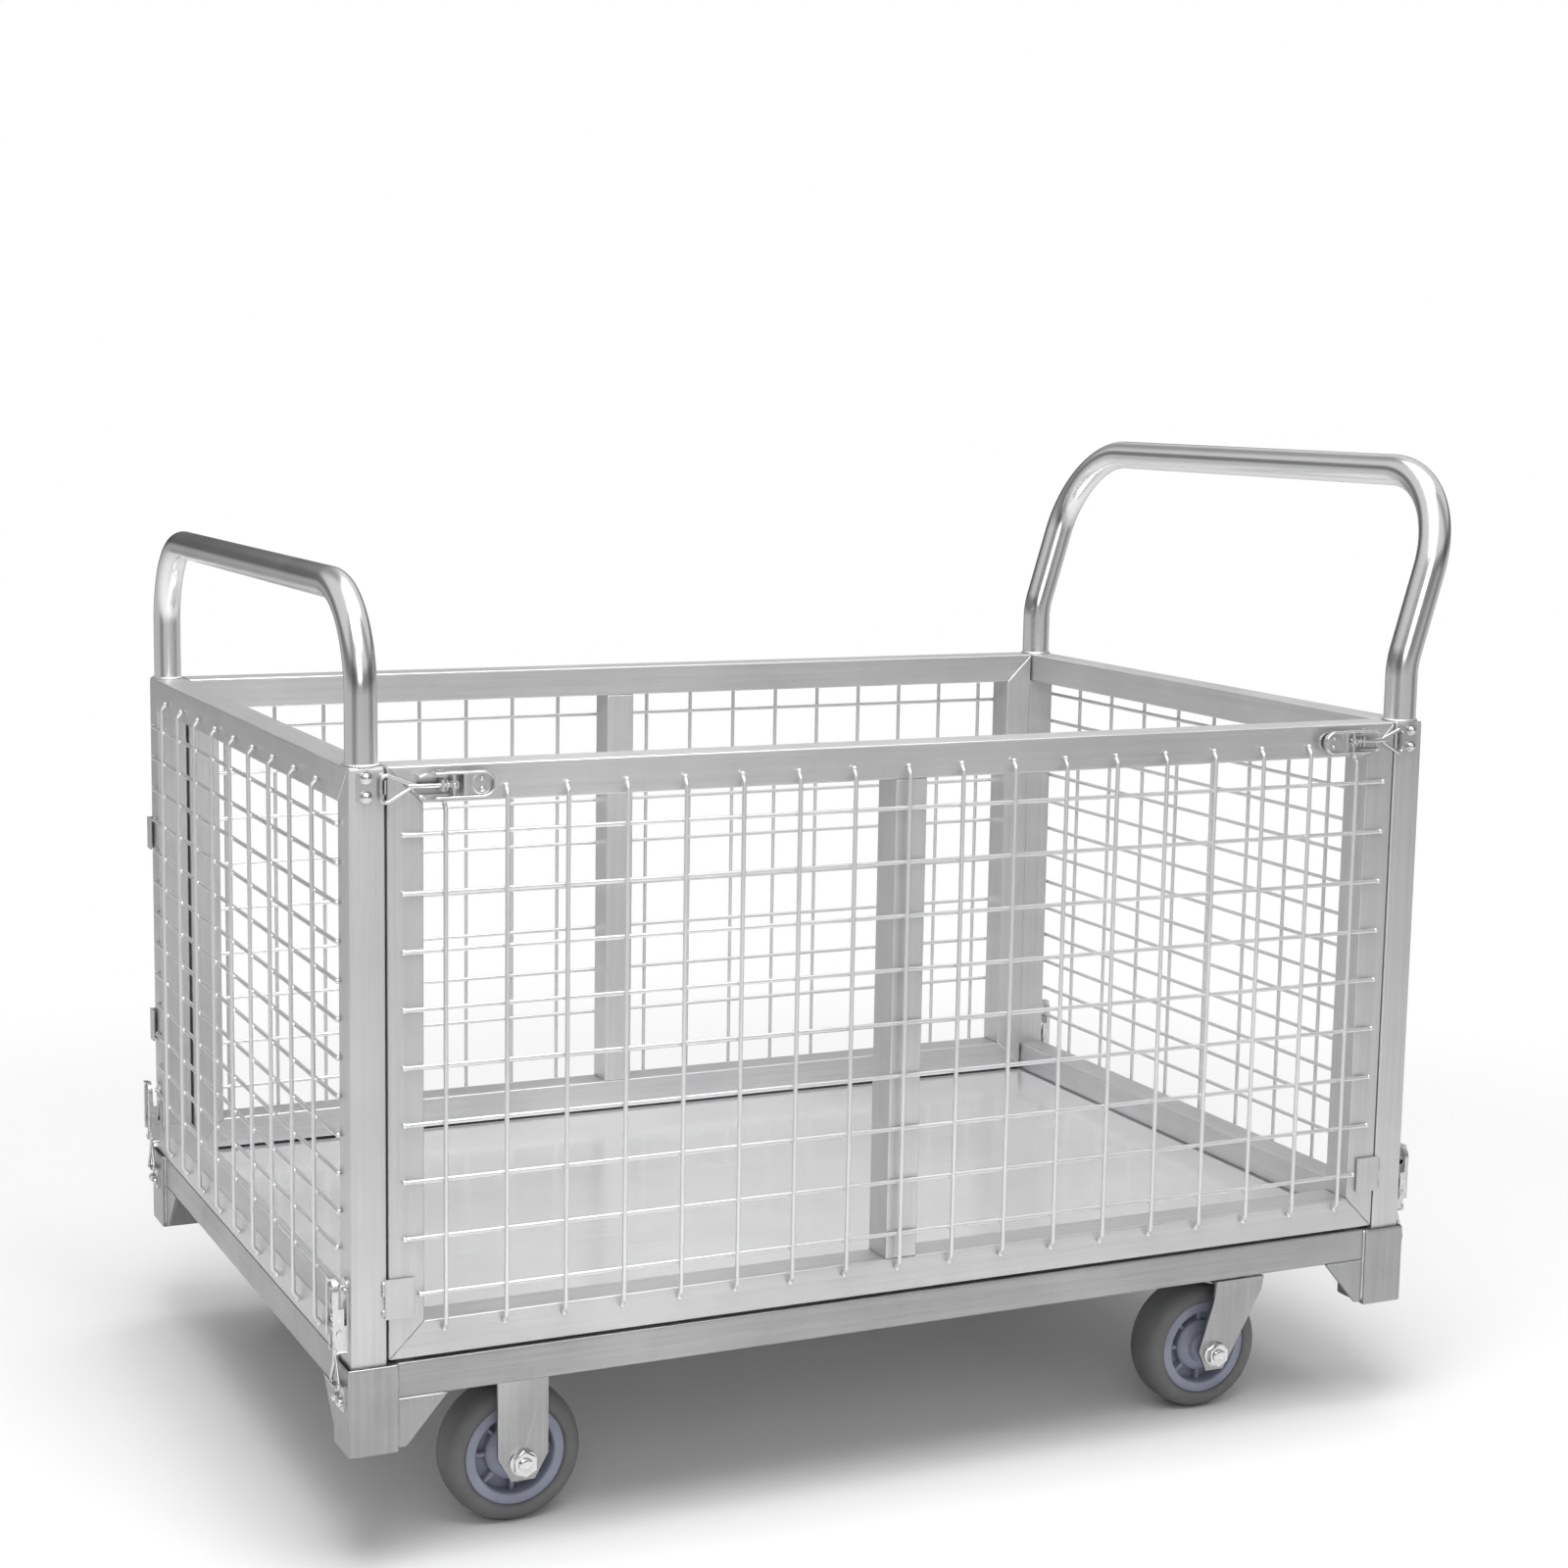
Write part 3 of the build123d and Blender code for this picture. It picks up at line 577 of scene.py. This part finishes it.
def latch_frames():
    """Name, local-to-world matrix, keeper rise and the plate's body of each latch."""
    rows = []
    for side, sy, face_y in (("front", -1, FRONT_Y), ("back", 1, BACK_Y)):
        for end, sx, face_x in (("left", -1, LEFT_X), ("right", 1, RIGHT_X)):
            at = Vector((face_x - sx * LATCH_INSET, face_y, RIM_Z - TUBE_W / 2))
            rows.append((f"{side}_{end}", at, Vector((-sx, 0, 0)), Vector((0, sy, 0)), 0.0,
                         f"{side}_panel"))
            at = Vector((face_x, sy * post_y, DECK_Z - END_LATCH_DROP))
            rows.append((f"{end}_end_{side}", at, Vector((0, 0, 1)), Vector((sx, 0, 0)),
                         END_KEEPER_RISE, "cart"))
    out = []
    for name, at, u, w, rise, plate_body in rows:
        turn = Matrix((u, w.cross(u), w)).transposed().to_4x4()
        out.append((name, Matrix.Translation(at) @ turn, rise, plate_body))
    return out


def placed(name, bm, matrix, mat, body):
    """mesh_object for a piece drawn in a local frame."""
    bm.transform(matrix)
    mesh_object(name, bm, mat, body)


for name, matrix, rise, plate_body in latch_frames():
    # keeper: two stacked nuts on washers
    bm = bmesh.new()
    for v in (-NUT_V, NUT_V):
        w = rise + KEEPER_T
        turned(bm, 0, v, [(0.0050, w), (0.0053, w + 0.0003), (0.0053, w + 0.0008),
                          (0.0048, w + 0.0010)])
        turned(bm, 0, v, [(0.0040, w + 0.0009), (0.0044, w + 0.0013), (0.0044, w + 0.0033),
                          (0.0037, w + 0.0039)], sides=6)
        turned(bm, 0, v, dome(0.0024, w + 0.0038, w + 0.0052), sides=18)
    placed(f"{name}_keeper_nuts", bm, matrix, MATS["fastener"], "cart")
    # loop: adjusting collar and the round eye on the cross pin
    bm = bmesh.new()
    box_into(bm, (0.0622, -0.0050, 0.0052), (0.0652, 0.0050, 0.0122))
    box_into(bm, (0.0664, -0.0046, 0.0056), (0.0682, 0.0046, 0.0118))
    turned(bm, BAIL_PIN_U, 0, [(0.0040, 0.0055), (0.0042, 0.0058), (0.0042, 0.0116),
                               (0.0038, 0.0122), (0.0026, 0.0122), (0.0024, 0.0114)])
    turned(bm, BAIL_PIN_U, 0, dome(0.0020, 0.0112, 0.0126), sides=18)
    placed(f"{name}_bail_eye", bm, matrix, MATS["latch"], f"{name}_bail")
    # lever: tail window plate, its rivets and a raised rim
    bm = bmesh.new()
    box_into(bm, (0.0845, -0.0088, 0.0098), (0.0960, 0.0088, 0.0103))
    turned(bm, RIVETS_U, 0, [(0.0088, 0.0098), (0.0089, 0.0101), (0.0089, 0.0104),
                             (0.0086, 0.0106), (0.0078, 0.0106)], sides=40)
    for v in (-0.0047, 0.0047):
        turned(bm, RIVETS_U, v, dome(0.0023, 0.0106, 0.0122), sides=20)
    box_into(bm, (0.0822, -0.0093, 0.0104), (0.0842, 0.0093, 0.0122))
    rim = [(RIM_FROM_U + 0.0415 * k / 12, -TAIL_R) for k in range(13)]
    rim += [(TAIL_U + TAIL_R * math.cos(t), TAIL_R * math.sin(t))
            for t in (-math.pi / 2 + math.pi * k / 16 for k in range(1, 16))]
    rim += [(u, -v) for u, v in reversed(rim[:13])]
    tube_into(bm, [Vector((u, v, RIM_W)) for u, v in rim], 0.0011, sides=10)
    placed(f"{name}_lever_trim", bm, matrix, MATS["latch"], f"{name}_lever")
    # curled fronts of the plate's ears
    bm = bmesh.new()
    for v in (-EAR_V, EAR_V):
        curl = [Vector((EAR_U, v, 0.0015 + 0.010 * k / 6)) for k in range(7)]
        curl += [Vector((EAR_U + 0.0012 * k, v * (1 + 0.05 * k), 0.0115)) for k in range(1, 5)]
        tube_into(bm, curl, 0.0013, sides=10)
    placed(f"{name}_ear_curls", bm, matrix, MATS["latch"], plate_body)


# ---- wire ends and spot welds -----------------------------------------------
TIP_R, SPOT_R = 0.0026, 0.0024
SPOT_OUT = 0.0050               # where crossing wires touch, out of the panel's face


def wires_of(node):
    """Lower and upper corner, and both tips, of every wire in a mesh node."""
    bm = bmesh.new()
    bm.from_mesh(NODES[node].data)
    bm.transform(NODES[node].matrix_world)
    bmesh.ops.remove_doubles(bm, verts=bm.verts, dist=1e-6)
    seen, rows = set(), []
    for start in bm.verts:
        if start in seen:
            continue
        seen.add(start)
        group, stack = [], [start]
        while stack:
            v = stack.pop()
            group.append(v.co.copy())
            for e in v.link_edges:
                other = e.other_vert(v)
                if other not in seen:
                    seen.add(other)
                    stack.append(other)
        lo = Vector([min(p[i] for p in group) for i in range(3)])
        hi = Vector([max(p[i] for p in group) for i in range(3)])
        axis = max(range(3), key=lambda i: hi[i] - lo[i])
        tips = []
        for end in (lo[axis], hi[axis]):
            near = [p for p in group if abs(p[axis] - end) < 0.0012]
            tips.append(sum(near, Vector()) / len(near))
        rows.append((axis, lo, hi, tips))
    bm.free()
    return rows


for node, body in (("front_panel_mesh", "front_panel"), ("back_panel_mesh", "back_panel"),
                   ("left_end_mesh", "cart"), ("right_end_mesh", "cart")):
    rows = wires_of(node)
    out_axis = 1 if "panel" in node else 0
    out_sign = -1 if "front" in node or "left" in node else 1
    bm = bmesh.new()
    for axis, lo, hi, tips in rows:
        for i, tip in enumerate(tips):
            at = tip.copy()
            at[axis] += (0.0004, -0.0004)[i]
            at[out_axis] += out_sign * 0.0002
            bmesh.ops.create_icosphere(bm, subdivisions=2, radius=TIP_R,
                                       matrix=Matrix.Translation(at))
    upright = [r for r in rows if r[0] == 2]
    level = [r for r in rows if r[0] != 2]
    side_axis = 1 - out_axis
    for _, lo_a, hi_a, _ in upright:
        for _, lo_b, hi_b, _ in level:
            at = Vector((0, 0, (lo_b[2] + hi_b[2]) / 2))
            at[side_axis] = (lo_a[side_axis] + hi_a[side_axis]) / 2
            face = (FRONT_Y if out_sign < 0 else BACK_Y) if out_axis else (
                LEFT_X if out_sign < 0 else RIGHT_X)
            at[out_axis] = face + out_sign * SPOT_OUT
            if lo_b[side_axis] < at[side_axis] < hi_b[side_axis] and lo_a[2] < at[2] < hi_a[2]:
                bmesh.ops.create_icosphere(bm, subdivisions=1, radius=SPOT_R,
                                           matrix=Matrix.Translation(at))
    mesh_object(node.replace("mesh", "spot_welds"), bm, MATS["wire"], body)

# ---- clip welds, washers and threads ------------------------------------------
CLIP_SEAM_IN = 0.0290
CLIP_SEAMS = ((0.0425, 0.0500), (0.0600, 0.0745))       # heights over the deck
bm = bmesh.new()
for sx, face_x in ((-1, LEFT_X), (1, RIGHT_X)):
    for sy, face_y in ((-1, FRONT_Y), (1, BACK_Y)):
        x, y = face_x - sx * CLIP_SEAM_IN, face_y + sy * 0.0004
        for z0, z1 in CLIP_SEAMS:
            bead(bm, [(x, y, DECK_Z + z0), (x, y, DECK_Z + z1)], 0.0024)
mesh_object("clip_welds", bm, MATS["weld"], "cart")

FORK_FACE = 0.042               # fork's outer face, from the wheel's middle
for side in ("front", "back"):
    for end, body in (("left", "cart"), ("right", f"{side}_swivel")):
        lo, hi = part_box(f"{side}_{end}_tyre")
        c = Vector([(a + b) / 2 for a, b in zip(lo, hi)])
        turn = Matrix(((1, 0, 0), (0, 0, -1), (0, 1, 0))).to_4x4()
        bm = bmesh.new()
        turned(bm, 0, 0, [(0.0120, FORK_FACE), (0.0127, FORK_FACE + 0.0003),
                          (0.0127, FORK_FACE + 0.0012), (0.0122, FORK_FACE + 0.0015)], sides=48)
        thread = [(0.0059 + 0.0006 * (k % 2), FORK_FACE + 0.0078 + 0.0004 * k) for k in range(8)]
        turned(bm, 0, 0, thread + [(0.0050, FORK_FACE + 0.0113), (0.0032, FORK_FACE + 0.0113),
                                   (0.0026, FORK_FACE + 0.0104)], sides=40)
        placed(f"{side}_{end}_axle_washer", bm, Matrix.Translation(c) @ turn,
               MATS["fastener"], body)


# ---- floor, light and camera -----------------------------------------------
def area_light(name, place, target, size, power):
    """Square soft box aimed at a point."""
    data = bpy.data.lights.new(name, "AREA")
    data.shape = "RECTANGLE"
    data.size = data.size_y = size
    data.energy = power
    obj = bpy.data.objects.new(name, data)
    obj.location = place
    aim = Vector(target) - Vector(place)
    obj.rotation_euler = aim.to_track_quat("-Z", "Y").to_euler()
    bpy.context.scene.collection.objects.link(obj)


bm = bmesh.new()
bmesh.ops.create_grid(bm, x_segments=2, y_segments=2, size=FLOOR_HALF)
floor_mesh = bpy.data.meshes.new("floor")
bm.to_mesh(floor_mesh)
bm.free()
floor_mesh.materials.append(floor_material())
floor = bpy.data.objects.new("floor", floor_mesh)
floor.location = (0, 0, -FLOOR_GAP)
bpy.context.scene.collection.objects.link(floor)

area_light("top", (0.3, 0.15, 3.6), (0.05, -0.05, 0.2), 2.4, 58)
area_light("key", (-0.55, -1.15, 2.7), (-0.1, -0.1, 0.2), 1.7, 62)
area_light("front", (-1.6, -4.0, 2.2), (-0.3, 0, 0.6), 1.8, 26)

# studio walls: bright under the horizon and overhead, a darker band between, soft upright cards
world = bpy.data.worlds.new("studio")
bpy.context.scene.world = world
world.use_nodes = True
g = Graph(world.node_tree)
direction = g.add("ShaderNodeTexCoord").outputs["Generated"]
parts = g.add("ShaderNodeSeparateXYZ", {"Vector": direction})
height = parts.outputs["Z"]
azimuth = g.math("ARCTAN2", parts.outputs["Y"], parts.outputs["X"])
ramp = g.add("ShaderNodeValToRGB", {"Fac": g.span(height, 0, 1, -0.2, 1.0)})
stops = ramp.color_ramp.elements
stops[0].position, stops[0].color = 0.0, rgb(0.75)
stops[1].position, stops[1].color = 1.0, rgb(1.0)
for position, level in ((0.10, 0.80), (0.17, 0.55), (0.21, 0.20), (0.27, 0.28), (0.37, 0.26),
                        (0.46, 1.0)):
    stop = stops.new(position)
    stop.color = rgb(level)
cards = g.math("SINE", g.math("MULTIPLY", azimuth, 3.0))
cards = g.span(cards, 0.45, 1.0, -0.95, -0.35)
studio = g.mix(1.0, ramp.outputs["Color"], g.add("ShaderNodeCombineColor", {
    "Red": cards, "Green": cards, "Blue": cards}).outputs[0], "MULTIPLY")
plain = g.add("ShaderNodeBackground", {"Color": (1, 1, 1, 1), "Strength": 1.0})
lit = g.add("ShaderNodeBackground", {"Color": studio, "Strength": 0.74})
seen = g.add("ShaderNodeLightPath").outputs["Is Camera Ray"]
both = g.add("ShaderNodeMixShader", {0: seen, 1: lit.outputs[0], 2: plain.outputs[0]})
out = g.add("ShaderNodeOutputWorld")
g.tree.links.new(both.outputs[0], out.inputs[0])

CAMERA_AT = (-1.2084, -2.5770, 1.0270)
HEADING, TILT, ROLL = math.radians(25.23), math.radians(8.18), math.radians(0.97)
look = Vector((math.sin(HEADING) * math.cos(TILT), math.cos(HEADING) * math.cos(TILT),
               -math.sin(TILT)))
right = Vector((math.cos(HEADING), -math.sin(HEADING), 0))
up = right.cross(look)
cam_x = math.cos(ROLL) * right + math.sin(ROLL) * up
cam_y = -math.sin(ROLL) * right + math.cos(ROLL) * up
cam_data = bpy.data.cameras.new("camera")
cam_data.lens = 63.47
cam_data.sensor_width = 36.0
camera = bpy.data.objects.new("camera", cam_data)
camera.matrix_world = Matrix.Translation(CAMERA_AT) @ Matrix(
    (cam_x, cam_y, -look)).transposed().to_4x4()
bpy.context.scene.collection.objects.link(camera)
bpy.context.scene.camera = camera
bpy.context.scene.view_settings.view_transform = "Standard"
